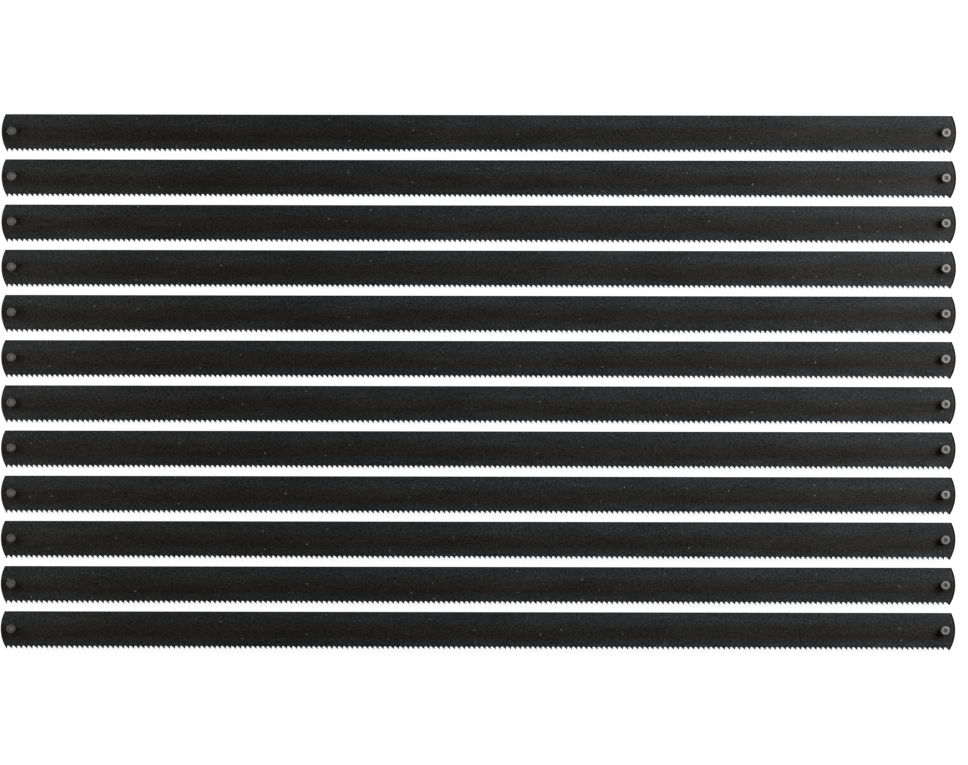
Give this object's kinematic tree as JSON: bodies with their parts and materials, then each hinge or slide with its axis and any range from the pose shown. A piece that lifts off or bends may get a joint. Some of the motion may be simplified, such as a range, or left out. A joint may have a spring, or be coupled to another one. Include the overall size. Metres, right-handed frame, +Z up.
{
  "type": "set of pin-end junior hacksaw blades",
  "caption": "Slim black steel saw strips with fine raked teeth along one edge, rounded ends and a short steel cross pin near each end, laid side by side.",
  "frame": {"origin": "the middle of the set's footprint, on the surface that it lies on", "axes": "+X along the blades, the way the teeth are raked; the teeth point to -Y; +Z up, out of the surface"},
  "size_m": [0.15, 0.084, 0.0036],
  "materials": {
    "blackened_steel": "satin",
    "pin_steel": "satin"
  },
  "bodies": {
    "blade_01": {"blade_01_strip": "blackened_steel", "blade_01_left_pin": "pin_steel", "blade_01_right_pin": "pin_steel"},
    "blade_02": {"blade_02_strip": "blackened_steel", "blade_02_left_pin": "pin_steel", "blade_02_right_pin": "pin_steel"},
    "blade_03": {"blade_03_strip": "blackened_steel", "blade_03_left_pin": "pin_steel", "blade_03_right_pin": "pin_steel"},
    "blade_04": {"blade_04_strip": "blackened_steel", "blade_04_left_pin": "pin_steel", "blade_04_right_pin": "pin_steel"},
    "blade_05": {"blade_05_strip": "blackened_steel", "blade_05_left_pin": "pin_steel", "blade_05_right_pin": "pin_steel"},
    "blade_06": {"blade_06_strip": "blackened_steel", "blade_06_left_pin": "pin_steel", "blade_06_right_pin": "pin_steel"},
    "blade_07": {"blade_07_strip": "blackened_steel", "blade_07_left_pin": "pin_steel", "blade_07_right_pin": "pin_steel"},
    "blade_08": {"blade_08_strip": "blackened_steel", "blade_08_left_pin": "pin_steel", "blade_08_right_pin": "pin_steel"},
    "blade_09": {"blade_09_strip": "blackened_steel", "blade_09_left_pin": "pin_steel", "blade_09_right_pin": "pin_steel"},
    "blade_10": {"blade_10_strip": "blackened_steel", "blade_10_left_pin": "pin_steel", "blade_10_right_pin": "pin_steel"},
    "blade_11": {"blade_11_strip": "blackened_steel", "blade_11_left_pin": "pin_steel", "blade_11_right_pin": "pin_steel"},
    "blade_12": {"blade_12_strip": "blackened_steel", "blade_12_left_pin": "pin_steel", "blade_12_right_pin": "pin_steel"}
  },
  "joints": [
    {"name": "blade_01_lift", "type": "slide", "parent": "blade_06", "child": "blade_01", "axis": [0, 0, 1], "range_m": [0, 0.03]},
    {"name": "blade_02_lift", "type": "slide", "parent": "blade_06", "child": "blade_02", "axis": [0, 0, 1], "range_m": [0, 0.03]},
    {"name": "blade_03_lift", "type": "slide", "parent": "blade_06", "child": "blade_03", "axis": [0, 0, 1], "range_m": [0, 0.03]},
    {"name": "blade_04_lift", "type": "slide", "parent": "blade_06", "child": "blade_04", "axis": [0, 0, 1], "range_m": [0, 0.03]},
    {"name": "blade_05_lift", "type": "slide", "parent": "blade_06", "child": "blade_05", "axis": [0, 0, 1], "range_m": [0, 0.03]},
    {"name": "blade_07_lift", "type": "slide", "parent": "blade_06", "child": "blade_07", "axis": [0, 0, 1], "range_m": [0, 0.03]},
    {"name": "blade_08_lift", "type": "slide", "parent": "blade_06", "child": "blade_08", "axis": [0, 0, 1], "range_m": [0, 0.03]},
    {"name": "blade_09_lift", "type": "slide", "parent": "blade_06", "child": "blade_09", "axis": [0, 0, 1], "range_m": [0, 0.03]},
    {"name": "blade_10_lift", "type": "slide", "parent": "blade_06", "child": "blade_10", "axis": [0, 0, 1], "range_m": [0, 0.03]},
    {"name": "blade_11_lift", "type": "slide", "parent": "blade_06", "child": "blade_11", "axis": [0, 0, 1], "range_m": [0, 0.03]},
    {"name": "blade_12_lift", "type": "slide", "parent": "blade_06", "child": "blade_12", "axis": [0, 0, 1], "range_m": [0, 0.03]}
  ]
}
